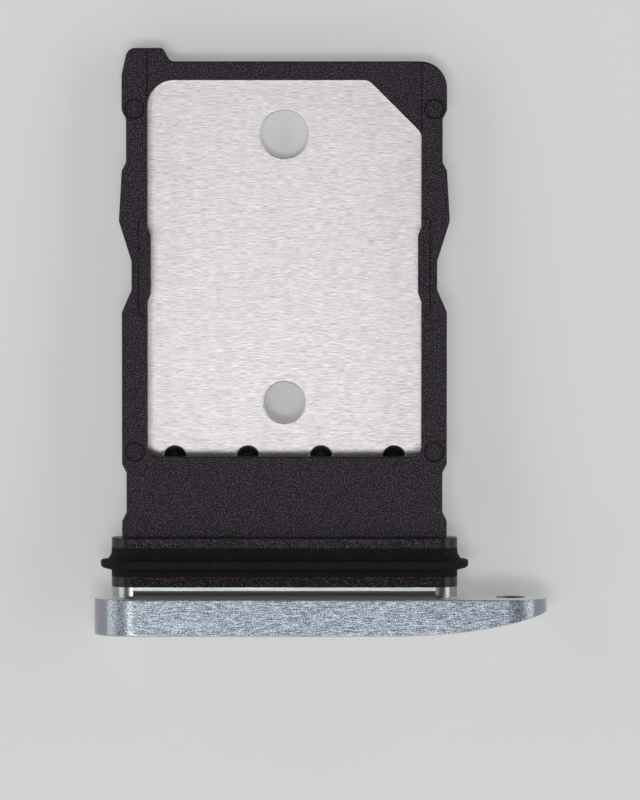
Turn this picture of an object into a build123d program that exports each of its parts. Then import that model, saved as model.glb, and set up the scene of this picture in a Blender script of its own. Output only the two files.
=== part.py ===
from build123d import *
from math import asin, degrees, sqrt
import os

# SIM card tray of a phone, lying card side up.
# X runs across the tray, Y from the faceplate towards the tip, Z up. All lengths are in millimetres.
# The origin is on the tray's centreline, in the plane of the faceplate's rear face, at half its height.

# Card that the pocket takes
card_length = 12.3
card_width = 8.8
card_thickness = 0.67
card_corner_cut = 1.65

# Room round the card, and how far the two side bumps press on it
card_end_gap = 0.03
card_side_gap = 0.10
card_corner_gap = 0.035
card_top_gap = 0.02
card_grip = 0.01

# Faceplate: aluminium plate with full-round ends, thinned at the right to follow the phone's corner
face_thickness = 1.22
face_end_thickness = 0.464
face_lap = 0.575
face_reach = 2.955
face_bend_length = 5.65
face_ease_length = 1.8
face_ease_radius = 36.0
face_outer_round = 0.05
face_rear_round = 0.04
eject_hole_radius = 0.49
eject_hole_inset = 1.21

# Neck behind the faceplate, and the tongue that the plastic is moulded over
neck_length = 0.365
neck_root_round = 0.06
neck_cove_radius = 0.26
tongue_cover = 0.175
tongue_side_cover = 0.9
tongue_corner_radius = 0.4
anchor_count = 3
anchor_radius = 0.4
anchor_inset = 0.65
anchor_side_inset = 1.5

# Collar with the groove of the seal: it stands out from the rails all round, flush with the neck
collar_step = 0.36
collar_rise = 0.22
front_flange_length = 0.335
rear_flange_length = 0.33
groove_depth = 0.30
flange_round = 0.05

# Seal: silicone ring with one lip, flared towards the tip
seal_front_land = 0.205
seal_rear_land = 0.41
lip_thickness = 0.345
lip_reach = 0.36
lip_slant = 0.10
lip_root_round = 0.05
lip_crest_round = 0.13
lip_edge_round = 0.05
flare_rise = 0.14
flare_run = 0.20
flare_round = 0.35

# Frame: plastic rails round the card, closed by the tip bar and the deck
rail_width = 0.84
tip_bar_width = 0.62
deck_length = 2.67
floor_lip_thickness = 0.12
frame_edge_round = 0.06
tip_corner_radius = 0.88
pocket_tip_radius = 0.86
pocket_front_radius = 0.35
pocket_cut_round = 0.38
pocket_rim_round = 0.045

# Guide notches in the rails' outer sides
notch_depth = 0.145
notch_ramp = 0.28
notch_round = 0.15
front_notch_start = 0.55
front_notch_length = 1.87
tip_notch_start = 1.61
tip_notch_length = 1.98

# Detent waist in the rails' outer sides, with the shoulder that the phone's spring rides over
waist_depth = 0.32
waist_length = 0.94
waist_offset = -0.23
waist_round = 0.25
shoulder_reach = 0.095
shoulder_ramp = 1.32
shoulder_round = 0.35
release_ramp = 0.73

# Bumps in the pocket's side walls that hold the card
bump_length = 2.47
bump_ramp = 0.29
bump_offset = 0.135
bump_round = 0.15

# Tab on the left of the tip
tab_width = 1.585
tab_reach = 0.44
tab_outer_slant = 0.20
tab_inner_slant = 0.23
tab_side_drop = 0.44
tab_outer_round = 0.32
tab_inner_round = 0.15
tab_foot_round = 0.27
tab_side_round = 0.5

# Base plate: stainless sheet, its edges caught in the frame
plate_thickness = 0.20
plate_side_hold = 0.30
plate_deck_hold = 1.10
plate_corner_radius = 0.4
insert_gap = 0.35
pilot_inset = 1.76
tip_pilot_radius = 0.775
front_pilot_radius = 0.67
lock_count = 4
lock_side_inset = 0.885
lock_radius = 0.365
lock_setback = 0.06
hole_rim_round = 0.06
lock_plug_recess = 0.13
lock_pip_radius = 0.17
lock_pip_rise = 0.06
lock_backing = 0.12
window_corner_radius = 0.5

# Marks that the mould leaves on the frame's top face
mark_margin = 0.085
mark_depth = 0.05
mark_taper = 40
mark_tip_inset = 0.945
mark_front_inset = 0.155
witness_width = 0.05
witness_depth = 0.03
pad_width = 0.31
pad_length = 3.3
pad_offset = 0.07
pad_round = 0.2

# How far apart two flat faces may lie and still count as level
level_tolerance = 0.001

# Sizes and levels that follow from the values above
pocket_length = card_length + 2 * card_end_gap
pocket_width = card_width + 2 * card_side_gap
pocket_depth = card_thickness + card_top_gap
pocket_side = pocket_width / 2
pocket_cut = card_corner_cut + card_side_gap + card_end_gap - sqrt(2) * card_corner_gap
frame_side = pocket_side + rail_width
frame_thickness = floor_lip_thickness + plate_thickness + pocket_depth
frame_top = frame_thickness / 2
frame_bottom = -frame_top
plate_bottom = frame_bottom + floor_lip_thickness
plate_top = plate_bottom + plate_thickness
neck_width = 2 * (frame_side + collar_step)
neck_height = frame_thickness + 2 * collar_rise
neck_flat_length = neck_width - neck_height
face_height = neck_height + 2 * face_lap
core_width = neck_width - 2 * groove_depth
core_height = neck_height - 2 * groove_depth
tongue_width = core_width - 2 * tongue_side_cover
tongue_thickness = core_height - 2 * tongue_cover
anchor_pitch = (tongue_width - 2 * anchor_side_inset) / (anchor_count - 1)
lock_pitch = (pocket_width - 2 * lock_side_inset) / (lock_count - 1)
groove_length = seal_front_land + lip_thickness + seal_rear_land
mark_radius = rail_width / 2 - mark_margin

# Places along the tray, counted from the faceplate's rear face
groove_front_y = neck_length + front_flange_length
groove_rear_y = groove_front_y + groove_length
collar_y = groove_rear_y + rear_flange_length
pocket_front_y = collar_y + deck_length
pocket_tip_y = pocket_front_y + pocket_length
pocket_middle_y = (pocket_front_y + pocket_tip_y) / 2
tip_y = pocket_tip_y + tip_bar_width
plate_front_y = pocket_front_y - plate_deck_hold
plate_tip_y = pocket_tip_y + plate_side_hold
tongue_end_y = plate_front_y - insert_gap
tip_pilot_y = pocket_tip_y - pilot_inset
front_pilot_y = pocket_front_y + pilot_inset
lock_y = pocket_front_y - lock_setback

# Places across the tray, counted from its centreline
face_left = -neck_width / 2 - face_lap
face_right = neck_width / 2 + face_reach
face_length = face_right - face_left
face_middle = (face_left + face_right) / 2
eject_hole_x = face_right - eject_hole_inset
face_bend_x = face_right - face_bend_length


def across(y):
    """Plane across the tray at this distance from the faceplate's rear face, facing the tip."""
    return Plane(origin=(0, y, 0), x_dir=(1, 0, 0), z_dir=(0, 1, 0))


def faces_at(faces, axis, level):
    """Those of the faces whose centre lies at this level along an axis."""
    return faces.filter_by_position(axis, level - level_tolerance, level + level_tolerance)


def faces_towards(part, direction):
    """Faces of a part that look along +Y or, with direction -1, along -Y, within 60 degrees."""
    least_cosine = 0.5
    return part.faces().filter_by(lambda face: face.normal_at().Y * direction > least_cosine)


# Faceplate: plan outline with the bent outer face, cut to the full-round shape seen from outside
ease_turn = degrees(asin(face_ease_length / face_ease_radius))

with BuildPart() as faceplate:
    with BuildSketch(Plane.XY.offset(-face_height / 2)):
        with BuildLine():
            rear = Line((face_right, 0), (face_left, 0))
            left = Line(rear @ 1, (face_left, -face_thickness))
            flat = Line(left @ 1, (face_bend_x, -face_thickness))
            ease = JernArc(flat @ 1, flat % 1, face_ease_radius, ease_turn)
            corner = TangentArc(ease @ 1, (face_right, -face_end_thickness), tangent=ease % 1)
            Line(corner @ 1, rear @ 0)
        make_face()
    extrude(amount=face_height)
    with BuildSketch(across(0)):
        with Locations((face_middle, 0)):
            SlotOverall(face_length, face_height)
    extrude(amount=-face_thickness, mode=Mode.INTERSECT)
    fillet(faces_towards(faceplate, -1).edges().filter_by(Axis.Z, reverse=True), face_outer_round)
    fillet(faces_towards(faceplate, 1).edges(), face_rear_round)
    with BuildSketch(across(0)):
        SlotOverall(neck_width, neck_height)
    extrude(amount=neck_length)
    rear_face = faceplate.faces().filter_by(Axis.Y).sort_by(Axis.Y)[-2]
    fillet(rear_face.inner_wires().edges(), neck_root_round)

    # Coves that stiffen the neck's root along its two flat sides
    with BuildSketch(Plane.YZ.offset(-neck_flat_length / 2)):
        with BuildLine():
            cove_top = neck_height / 2 + neck_cove_radius
            cove = CenterArc((neck_cove_radius, cove_top), neck_cove_radius, 180, 90)
            Polyline(cove @ 1, (0, neck_height / 2), cove @ 0)
        make_face()
        mirror(about=Plane.XZ)
    extrude(amount=neck_flat_length)

    # Tongue with the holes that the plastic flows through, and the eject hole
    with BuildSketch(Plane.XY.offset(-tongue_thickness / 2)):
        with Locations((0, tongue_end_y / 2)):
            Rectangle(tongue_width, tongue_end_y)
        with Locations((0, tongue_end_y - anchor_inset)):
            with GridLocations(anchor_pitch, 0, anchor_count, 1):
                Circle(anchor_radius, mode=Mode.SUBTRACT)
    extrude(amount=tongue_thickness)
    tongue_end = faceplate.faces().sort_by(Axis.Y)[-1]
    fillet(tongue_end.edges().filter_by(Axis.Z), tongue_corner_radius)
    with BuildSketch(across(0)):
        with Locations((eject_hole_x, 0)):
            Circle(eject_hole_radius)
    extrude(amount=-face_thickness, mode=Mode.SUBTRACT)

# Base plate: pocket floor with two pilot holes, and lock holes that the pocket's front wall crosses
with BuildPart() as base_plate:
    with BuildSketch(Plane.XY.offset(plate_bottom)):
        with Locations((0, (plate_front_y + plate_tip_y) / 2)):
            plate_width = pocket_width + 2 * plate_side_hold
            RectangleRounded(plate_width, plate_tip_y - plate_front_y, plate_corner_radius)
        with Locations((0, lock_y)):
            with GridLocations(lock_pitch, 0, lock_count, 1):
                Circle(lock_radius, mode=Mode.SUBTRACT)
        with Locations((0, tip_pilot_y)):
            Circle(tip_pilot_radius, mode=Mode.SUBTRACT)
        with Locations((0, front_pilot_y)):
            Circle(front_pilot_radius, mode=Mode.SUBTRACT)
    extrude(amount=plate_thickness)
    fillet(base_plate.faces().sort_by(Axis.Z)[-1].inner_wires().edges(), hole_rim_round)


def notch(start_y, end_y):
    """Corners of one guide notch in the right rail, from the deck towards the tip, with their radii."""
    floor_x = frame_side - notch_depth
    return [
        ((frame_side, start_y), notch_round),
        ((floor_x, start_y + notch_ramp), notch_round),
        ((floor_x, end_y - notch_ramp), notch_round),
        ((frame_side, end_y), notch_round),
    ]


def waist():
    """Corners of the detent waist and its shoulder in the right rail, with their radii."""
    low_y = pocket_middle_y + waist_offset - waist_length / 2
    high_y = low_y + waist_length
    return [
        ((frame_side, low_y - release_ramp), waist_round),
        ((frame_side - waist_depth, low_y), waist_round),
        ((frame_side - waist_depth, high_y), waist_round),
        ((frame_side + shoulder_reach, high_y + shoulder_ramp), shoulder_round),
    ]


def mirrored(corners):
    """The same corners on the left side, in the opposite order."""
    return [((-x, y), radius) for (x, y), radius in reversed(corners)]


def points(corners):
    """The points of an outline that is given as corners with their radii."""
    return [point for point, radius in corners]


def radii(corners):
    """The radii of an outline that is given as corners with their radii."""
    return [radius for point, radius in corners]


# Frame outline, from the rear flange of the collar up the right rail, over the tip and back
block_front_y = collar_y - rear_flange_length / 2
front_notch_y = collar_y + front_notch_start
tip_notch_y = tip_y - tip_notch_start
rail_corners = notch(front_notch_y, front_notch_y + front_notch_length) + waist()
rail_corners += notch(tip_notch_y - tip_notch_length, tip_notch_y)
tab_top_y = tip_y + tab_reach
tip_corners = [
    ((frame_side, tip_y), tip_corner_radius),
    ((-frame_side + tab_width, tip_y), tab_foot_round),
    ((-frame_side + tab_width - tab_inner_slant, tab_top_y), tab_inner_round),
    ((-frame_side + tab_outer_slant, tab_top_y), tab_outer_round),
    ((-frame_side, tip_y - tab_side_drop), tab_side_round),
]
frame_outline = [((frame_side, block_front_y), 0)] + rail_corners + tip_corners
frame_outline += mirrored(rail_corners) + [((-frame_side, block_front_y), 0)]

# Pocket outline, with the bump in each side wall and the cut corner that keys the card
bump_low_y = pocket_middle_y + bump_offset - bump_length / 2
bump_high_y = bump_low_y + bump_length
bump_x = pocket_side - card_side_gap - card_grip
bump_corners = [
    ((pocket_side, bump_low_y), bump_round),
    ((bump_x, bump_low_y + bump_ramp), bump_round),
    ((bump_x, bump_high_y - bump_ramp), bump_round),
    ((pocket_side, bump_high_y), bump_round),
]
pocket_outline = [((-pocket_side, pocket_front_y), pocket_front_radius)]
pocket_outline += [((pocket_side, pocket_front_y), pocket_front_radius)] + bump_corners
pocket_outline += [
    ((pocket_side, pocket_tip_y - pocket_cut), pocket_cut_round),
    ((pocket_side - pocket_cut, pocket_tip_y), pocket_cut_round),
    ((-pocket_side, pocket_tip_y), pocket_tip_radius),
]
pocket_outline += mirrored(bump_corners)

# Places of the mould's marks on the top face
mark_x = pocket_side + rail_width / 2
mark_rows = (pocket_front_y + mark_front_inset, pocket_tip_y - mark_tip_inset)
pad_y = pocket_middle_y + pad_offset
window_front_y = lock_y + lock_radius + lock_backing
plug_level = plate_top - lock_plug_recess

with BuildPart() as frame:
    with BuildSketch(Plane.XY.offset(frame_bottom)):
        with BuildLine():
            FilletPolyline(*points(frame_outline), radius=radii(frame_outline), close=True)
        make_face()
    extrude(amount=frame_thickness)
    rim = frame.faces().sort_by(Axis.Z)[-1].edges() + frame.faces().sort_by(Axis.Z)[0].edges()
    fillet(rim.filter_by(lambda edge: edge.center().Y > block_front_y + frame_edge_round), frame_edge_round)

    # Collar: core that carries the seal, between two flanges flush with the neck
    with BuildSketch(across(neck_length)):
        SlotOverall(core_width, core_height)
    extrude(amount=collar_y - neck_length)
    with BuildSketch(across(neck_length)):
        SlotOverall(neck_width, neck_height)
    extrude(amount=front_flange_length)
    with BuildSketch(across(groove_rear_y)):
        SlotOverall(neck_width, neck_height)
    extrude(amount=rear_flange_length)
    flange_face = faces_at(faces_towards(frame, 1), Axis.Y, collar_y)[0]
    fillet(flange_face.outer_wire().edges(), flange_round)

    # Card pocket above the plate, and the window below it that leaves the steel bare
    with BuildSketch(Plane.XY.offset(plug_level)):
        with BuildLine():
            FilletPolyline(*points(pocket_outline), radius=radii(pocket_outline), close=True)
        make_face()
    extrude(amount=frame_thickness, mode=Mode.SUBTRACT)
    top_face = faces_at(frame.faces(), Axis.Z, frame_top).sort_by(SortBy.AREA)[-1]
    fillet(top_face.inner_wires().edges(), pocket_rim_round)
    with BuildSketch(Plane.XY.offset(frame_bottom)):
        with Locations((0, (window_front_y + pocket_tip_y) / 2)):
            RectangleRounded(pocket_width, pocket_tip_y - window_front_y, window_corner_radius)
    extrude(amount=floor_lip_thickness, mode=Mode.SUBTRACT)

    # Raised middle of each plug in the lock holes, where the plastic has welled up
    with Locations((0, lock_y, plug_level)):
        with GridLocations(lock_pitch, 0, lock_count, 1):
            to_base = (Align.CENTER, Align.CENTER, Align.MIN)
            Cone(lock_radius, lock_pip_radius, lock_pip_rise, align=to_base)

    # Beds of the two inserts, with the pilot holes kept free by the mould's pins
    add(base_plate.part, mode=Mode.SUBTRACT)
    add(faceplate.part, mode=Mode.SUBTRACT)
    with BuildSketch(Plane.XY.offset(frame_bottom)):
        with Locations((0, tip_pilot_y)):
            Circle(tip_pilot_radius)
        with Locations((0, front_pilot_y)):
            Circle(front_pilot_radius)
    extrude(amount=frame_thickness, mode=Mode.SUBTRACT)

    # Ejector-pin marks on the rails
    with BuildSketch(Plane.XY.offset(frame_top)):
        with Locations(*[(side * mark_x, y) for side in (-1, 1) for y in mark_rows]):
            Circle(mark_radius)
    extrude(amount=-mark_depth, taper=mark_taper, mode=Mode.SUBTRACT)

    # Witness lines of the mould's inserts beside the bumps and at the tip's corners
    with BuildSketch(Plane.XY.offset(frame_top)):
        with Locations((-pocket_side, pad_y), (pocket_side, pad_y)):
            RectangleRounded(2 * pad_width, pad_length, pad_round)
            pad_inside = (2 * (pad_width - witness_width), pad_length - 2 * witness_width)
            RectangleRounded(*pad_inside, pad_round - witness_width, mode=Mode.SUBTRACT)
        with Locations((pocket_side, (pocket_tip_y - pocket_cut + tip_y) / 2)):
            Rectangle(witness_width, tip_y - pocket_tip_y + pocket_cut)
        with Locations((-pocket_side, (pocket_tip_y - pocket_tip_radius + tab_top_y) / 2)):
            Rectangle(witness_width, tab_top_y - pocket_tip_y + pocket_tip_radius)
    extrude(amount=-witness_depth, mode=Mode.SUBTRACT)

# Seal: section of the ring, carried along the collar's two straight sides and round its ends
seal_floor = core_height / 2
seal_surface = neck_height / 2
lip_front_y = groove_front_y + seal_front_land
lip_rear_y = lip_front_y + lip_thickness
seal_section = [
    ((groove_front_y, seal_floor), 0),
    ((groove_front_y, seal_surface), 0),
    ((lip_front_y, seal_surface), lip_root_round),
    ((lip_front_y + lip_slant, seal_surface + lip_reach), lip_crest_round),
    ((lip_rear_y, seal_surface + lip_reach), lip_edge_round),
    ((lip_rear_y, seal_surface + flare_rise), 0),
    ((lip_rear_y + flare_run, seal_surface), flare_round),
    ((groove_rear_y, seal_surface), 0),
    ((groove_rear_y, seal_floor), 0),
]

with BuildPart() as seal:
    for direction in (-1, 1):
        start = (-direction * neck_flat_length / 2, 0, 0)
        with BuildSketch(Plane(origin=start, x_dir=(0, 1, 0), z_dir=(direction, 0, 0))) as section:
            with BuildLine():
                FilletPolyline(*points(seal_section), radius=radii(seal_section), close=True)
            make_face()
        extrude(amount=neck_flat_length)
        revolve(section.sketch, axis=Axis(start, (0, -1, 0)), revolution_arc=180)

faceplate.part.label = "faceplate"
base_plate.part.label = "base_plate"
frame.part.label = "frame"
seal.part.label = "seal"

os.makedirs("parts", exist_ok=True)
export_step(faceplate.part, "parts/faceplate.step")
export_step(base_plate.part, "parts/base_plate.step")
export_step(frame.part, "parts/frame.step")
export_step(seal.part, "parts/seal.step")
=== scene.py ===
import math

import bpy
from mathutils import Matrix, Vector


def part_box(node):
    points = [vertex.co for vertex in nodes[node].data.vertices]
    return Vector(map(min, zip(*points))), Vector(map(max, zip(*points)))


# SIM card tray, card side up, on a plain pale floor under soft studio light.
# The frame is in metres: X across the tray, Y from the faceplate towards the tip, Z up.

MM = 0.001
X, Y, Z = range(3)

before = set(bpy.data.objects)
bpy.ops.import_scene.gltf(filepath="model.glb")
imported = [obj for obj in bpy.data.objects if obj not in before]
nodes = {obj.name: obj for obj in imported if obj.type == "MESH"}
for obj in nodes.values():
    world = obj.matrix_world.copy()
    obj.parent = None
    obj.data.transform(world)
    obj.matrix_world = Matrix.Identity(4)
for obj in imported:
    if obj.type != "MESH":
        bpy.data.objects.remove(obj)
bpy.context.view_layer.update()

scene = bpy.context.scene
scene.view_settings.view_transform = "Standard"

face_low, face_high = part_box("faceplate")
frame_low, frame_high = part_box("frame")
plate_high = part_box("base_plate")[1]
seal_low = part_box("seal")[0]


# Shader helpers


def new_material(name, roughness, metallic=0.0, specular=0.5):
    """A material with a Principled shader, its node tree and that shader."""
    material = bpy.data.materials.new(name)
    material.use_nodes = True
    tree = material.node_tree
    shader = tree.nodes["Principled BSDF"]
    shader.inputs["Roughness"].default_value = roughness
    shader.inputs["Metallic"].default_value = metallic
    shader.inputs["Specular IOR Level"].default_value = specular
    return material, tree, shader


def grey(level):
    """A grey colour of this level."""
    return (level, level, level)


def place(tree, per_mm):
    """Object coordinates in features per millimetre along X, Y and Z."""
    coordinates = tree.nodes.new("ShaderNodeTexCoord")
    mapping = tree.nodes.new("ShaderNodeMapping")
    mapping.inputs["Scale"].default_value = [value / MM for value in per_mm]
    tree.links.new(coordinates.outputs["Object"], mapping.inputs["Vector"])
    return mapping.outputs["Vector"]


def noise(tree, per_mm, detail=2.0, rough=0.5):
    """Noise with its features at this many per millimetre along X, Y and Z."""
    texture = tree.nodes.new("ShaderNodeTexNoise")
    texture.inputs["Scale"].default_value = 1.0
    texture.inputs["Detail"].default_value = detail
    texture.inputs["Roughness"].default_value = rough
    tree.links.new(place(tree, per_mm), texture.inputs["Vector"])
    return texture.outputs["Fac"]


def ramp(tree, value, stops):
    """A colour ramp over a value; a stop is a place and a colour."""
    node = tree.nodes.new("ShaderNodeValToRGB")
    elements = node.color_ramp.elements
    while len(elements) < len(stops):
        elements.new(0.5)
    for element, (position, colour) in zip(elements, stops):
        element.position = position
        element.color = (*colour, 1.0)
    tree.links.new(value, node.inputs["Fac"])
    return node.outputs["Color"]


def mix(tree, factor, first, second, blend="MIX"):
    """Two colours mixed by a factor; the factor is a socket or a number, a colour a socket or a colour."""
    node = tree.nodes.new("ShaderNodeMix")
    node.data_type = "RGBA"
    node.blend_type = blend
    for socket, value in ((node.inputs[0], factor), (node.inputs[6], first), (node.inputs[7], second)):
        if isinstance(value, bpy.types.NodeSocket):
            tree.links.new(value, socket)
        elif isinstance(value, (int, float)):
            socket.default_value = value
        else:
            socket.default_value = (*value, 1.0)
    return node.outputs[2]


def bump(tree, shader, height, depth):
    """Bump of this depth in metres on a shader."""
    node = tree.nodes.new("ShaderNodeBump")
    node.inputs["Distance"].default_value = depth
    tree.links.new(height, node.inputs["Height"])
    tree.links.new(node.outputs["Normal"], shader.inputs["Normal"])


def between(tree, vector, axis, low, high):
    """Mask that goes from 0 at low to 1 at high along one axis of a vector."""
    parts = tree.nodes.new("ShaderNodeSeparateXYZ")
    tree.links.new(vector, parts.inputs["Vector"])
    node = tree.nodes.new("ShaderNodeMapRange")
    node.inputs["From Min"].default_value = low
    node.inputs["From Max"].default_value = high
    tree.links.new(parts.outputs[axis], node.inputs["Value"])
    return node.outputs["Result"]


def facing(tree, axis, low, high):
    """Mask by where the surface looks: 0 and 1 at these lengths of its normal along an axis."""
    geometry = tree.nodes.new("ShaderNodeNewGeometry")
    return between(tree, geometry.outputs["Normal"], axis, low, high)


def lying(tree, axis, low, high):
    """Mask by where the surface lies: 0 and 1 at these places along an axis of the tray."""
    coordinates = tree.nodes.new("ShaderNodeTexCoord")
    return between(tree, coordinates.outputs["Object"], axis, low, high)


# Materials


def steel():
    """Stainless sheet, brushed across the tray."""
    material, tree, shader = new_material("brushed_steel", 0.46, metallic=1.0)
    short = noise(tree, (4.0, 70.0, 70.0), detail=1.0)
    long = noise(tree, (1.6, 66.0, 66.0), detail=1.0)
    grain = mix(tree, 0.4, short, long)
    colour = ramp(tree, grain, [(0.34, (0.50, 0.478, 0.483)), (0.66, (0.96, 0.915, 0.925))])
    tree.links.new(colour, shader.inputs["Base Color"])
    bump(tree, shader, grain, 0.006 * MM)
    return material


def nylon():
    """Black glass-filled nylon: spark-eroded top faces with a light speckle, smoother sides; in front of
    the seal the top faces are darker, as painted shade.
    """
    material, tree, shader = new_material("glass_filled_nylon", 0.7, specular=0.35)
    top = facing(tree, Z, 0.96, 0.995)
    # Painted shade: in front of the seal, in the hollow between the faceplate and the seal lip, the top
    # faces take a darker, sparser speckle
    shaded_before_seal = lying(tree, Y, seal_low.y, seal_low.y - 0.05 * MM)

    speckle = noise(tree, (24.0, 24.0, 24.0), detail=1.0)
    dense = ramp(
        tree,
        speckle,
        [(0.28, (0.004, 0.0025, 0.004)), (0.5, (0.0155, 0.0105, 0.017)), (0.75, (0.115, 0.10, 0.12))],
    )
    shaded_sparse_speckle = ramp(tree, speckle, [(0.56, (0.003, 0.002, 0.003)), (0.74, (0.12, 0.10, 0.105))])
    side_colour = (0.006, 0.0055, 0.007)
    colour = mix(tree, top, side_colour, mix(tree, shaded_before_seal, dense, shaded_sparse_speckle))
    tree.links.new(colour, shader.inputs["Base Color"])

    roughness = ramp(tree, top, [(0.0, grey(0.3)), (1.0, grey(0.85))])
    tree.links.new(roughness, shader.inputs["Roughness"])
    bump(tree, shader, noise(tree, (18.0, 18.0, 18.0), detail=1.0), 0.010 * MM)
    return material


def silicone():
    """Smooth black silicone with a little dust."""
    material, tree, shader = new_material("silicone", 0.75, specular=0.2)
    patches = noise(tree, (6.0, 12.0, 12.0), detail=3.0)
    dust = ramp(tree, patches, [(0.4, grey(0.0)), (0.9, grey(1.0))])
    colour = mix(tree, dust, (0.003, 0.0025, 0.0035), (0.012, 0.011, 0.013))
    tree.links.new(colour, shader.inputs["Base Color"])
    return material


def aluminium():
    """Aluminium: bead-blasted sides, plain ends, satin outer face, bright machined neck and rear face; the
    rear face's lighter colour is partly a painted reflection.
    """
    material, tree, shader = new_material("aluminium", 0.4, metallic=1.0)
    shader.inputs["Coat Weight"].default_value = 1.0
    shader.inputs["Coat Roughness"].default_value = 0.12

    # The ends fade into the sides between these distances from the tips of the faceplate
    end_start = 0.6 * MM
    end_full = 0.35 * MM
    left_end = lying(tree, X, face_low.x + end_start, face_low.x + end_full)
    right_end = lying(tree, X, face_high.x - end_start, face_high.x - end_full)
    ends = mix(tree, 1.0, left_end, right_end, blend="ADD")
    outer = facing(tree, Y, -0.2, -0.6)
    rear = facing(tree, Y, 0.5, 0.9)
    behind = lying(tree, Y, -0.02 * MM, 0.0)

    def by_finish(side, end, satin, machined):
        """One property, put together from its values on the four finishes."""
        sides = mix(tree, ends, side, end)
        plate = mix(tree, outer, sides, satin)
        return mix(tree, behind, plate, machined)

    pits = noise(tree, (24.0, 46.0, 46.0), detail=2.0, rough=0.6)
    drags = noise(tree, (4.0, 52.0, 52.0), detail=1.0)
    grain = mix(tree, 0.35, pits, drags)
    haze = noise(tree, (34.0, 34.0, 34.0), detail=2.0)
    lines = noise(tree, (0.6, 30.0, 30.0), detail=2.0)

    blasted_colour = ramp(
        tree,
        grain,
        [(0.38, (0.047, 0.055, 0.066)), (0.5, (0.208, 0.256, 0.315)), (0.61, (0.72, 0.77, 0.81))],
    )
    end_colour = (0.285, 0.285, 0.33)
    satin_colour = ramp(tree, haze, [(0.3, (0.50, 0.515, 0.56)), (0.7, (0.56, 0.575, 0.62))])
    neck_colour = ramp(tree, lines, [(0.3, (0.25, 0.272, 0.277)), (0.7, (0.36, 0.383, 0.388))])
    # Painted reflection: the rear face gets a much lighter copy of the machined colour than the neck, so
    # its reflection of the floor behind shows brighter
    machined_colour = mix(tree, rear, neck_colour, (0.85, 0.87, 0.87))
    colour = by_finish(blasted_colour, end_colour, satin_colour, machined_colour)
    tree.links.new(colour, shader.inputs["Base Color"])

    machined_roughness = mix(tree, rear, grey(0.28), grey(0.5))
    roughness = by_finish(grey(0.42), grey(0.34), grey(0.35), machined_roughness)
    tree.links.new(roughness, shader.inputs["Roughness"])

    # Only the blasted sides have a relief
    level = grey(0.5)
    bump(tree, shader, by_finish(grain, level, level, level), 0.008 * MM)
    return material


for name, material in {
    "base_plate": steel(),
    "frame": nylon(),
    "seal": silicone(),
    "faceplate": aluminium(),
}.items():
    nodes[name].data.materials[0] = material


# Floor that the tray lies on: the faceplate's lower edge and the tip touch it

floor_size = 4.0
floor_level = 0.56
floor_glow = 0.24

tip_points = [vertex.co for vertex in nodes["frame"].data.vertices if vertex.co.y > plate_high.y]
tip_low = min(point.z for point in tip_points)
lie_angle = math.atan2(tip_low - face_low.z, frame_high.y - face_low.y)
floor_mesh = bpy.data.meshes.new("floor")
half = floor_size / 2
floor_mesh.from_pydata(
    [(-half, -half, 0), (half, -half, 0), (half, half, 0), (-half, half, 0)], [], [(0, 1, 2, 3)]
)
floor = bpy.data.objects.new("floor", floor_mesh)
floor.location = (0, face_low.y, face_low.z)
floor.rotation_euler = (lie_angle, 0, 0)
scene.collection.objects.link(floor)

# The glow shows to the camera and in reflections, and lights nothing else
floor_material, floor_tree, floor_shader = new_material("floor", 0.9, specular=0.1)
floor_shader.inputs["Base Color"].default_value = (*grey(floor_level), 1.0)
floor_shader.inputs["Emission Color"].default_value = (1.0, 1.0, 1.0, 1.0)
light_path = floor_tree.nodes.new("ShaderNodeLightPath")
seen = light_path.outputs["Is Camera Ray"]
for ray in ("Is Glossy Ray", "Is Transmission Ray"):
    either = floor_tree.nodes.new("ShaderNodeMath")
    either.operation = "MAXIMUM"
    floor_tree.links.new(seen, either.inputs[0])
    floor_tree.links.new(light_path.outputs[ray], either.inputs[1])
    seen = either.outputs["Value"]
glow = floor_tree.nodes.new("ShaderNodeMath")
glow.operation = "MULTIPLY"
glow.inputs[1].default_value = floor_glow
floor_tree.links.new(seen, glow.inputs[0])
floor_tree.links.new(glow.outputs["Value"], floor_shader.inputs["Emission Strength"])
floor_mesh.materials.append(floor_material)


# Light: softboxes round the tray, and a dim room

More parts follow.
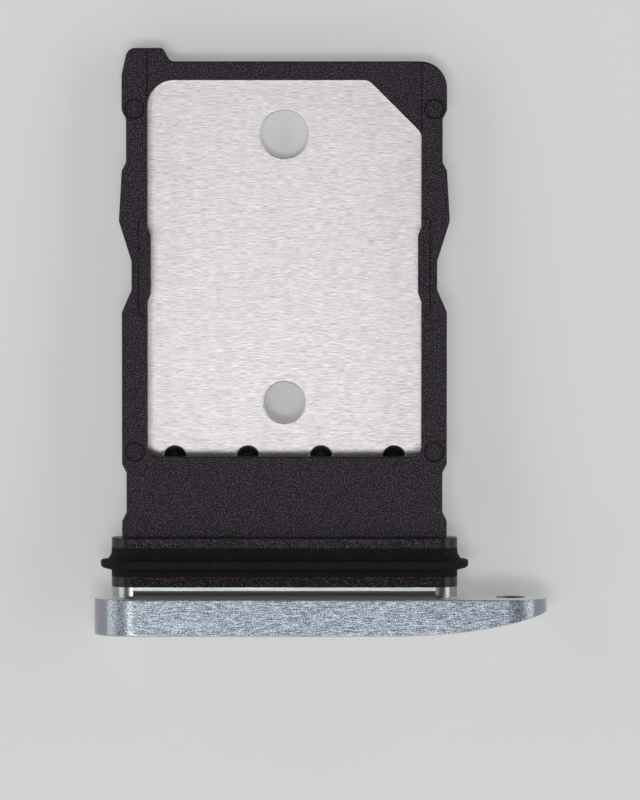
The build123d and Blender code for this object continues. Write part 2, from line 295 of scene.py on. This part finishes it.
lamp_distance = 0.5
room_grey = 0.9
room_strength = 0.08


def softbox(name, azimuth, elevation, width, height, radiance):
    """An area lamp that looks at the tray; azimuth 0 is at +X and 90 at +Y, in degrees."""
    lamp = bpy.data.lights.new(name, "AREA")
    lamp.shape = "RECTANGLE"
    lamp.size = width
    lamp.size_y = height
    lamp.energy = radiance * math.pi * width * height
    holder = bpy.data.objects.new(name, lamp)
    flat = math.cos(math.radians(elevation))
    direction = Vector(
        (
            flat * math.cos(math.radians(azimuth)),
            flat * math.sin(math.radians(azimuth)),
            math.sin(math.radians(elevation)),
        )
    )
    target = (frame_low + frame_high) / 2
    holder.location = target + lamp_distance * direction
    holder.rotation_euler = direction.to_track_quat("Z", "Y").to_euler()
    scene.collection.objects.link(holder)


softbox("key_light", azimuth=-108, elevation=75.5, width=0.28, height=0.1, radiance=8.6)
softbox("left_light", azimuth=180, elevation=23, width=1.0, height=0.28, radiance=1.7)
softbox("right_light", azimuth=0, elevation=23, width=1.0, height=0.2, radiance=2.4)
softbox("tip_light", azimuth=90, elevation=12, width=0.5, height=0.1, radiance=1.4)
softbox("front_light", azimuth=-90, elevation=20, width=0.5, height=0.2, radiance=1.5)

world = bpy.data.worlds.new("room")
world.use_nodes = True
background = world.node_tree.nodes["Background"]
background.inputs["Color"].default_value = (*grey(room_grey), 1.0)
background.inputs["Strength"].default_value = room_strength
scene.world = world


# Camera almost straight above, a little towards the tip

image_height = 800
pixels_per_mm = 30.47
camera_distance = 200 * MM
camera_tilt = math.radians(2.6)
view_centre = Vector((1.17 * MM, 6.536 * MM, frame_high.z))

camera_data = bpy.data.cameras.new("camera")
camera_data.sensor_width = 36.0
camera_data.lens = camera_data.sensor_width * camera_distance / (image_height / pixels_per_mm * MM)
camera_data.clip_start = 0.01
camera = bpy.data.objects.new("camera", camera_data)
camera.location = view_centre + camera_distance * Vector((0, math.sin(camera_tilt), math.cos(camera_tilt)))
camera.rotation_euler = (-camera_tilt, 0, 0)
scene.collection.objects.link(camera)
scene.camera = camera
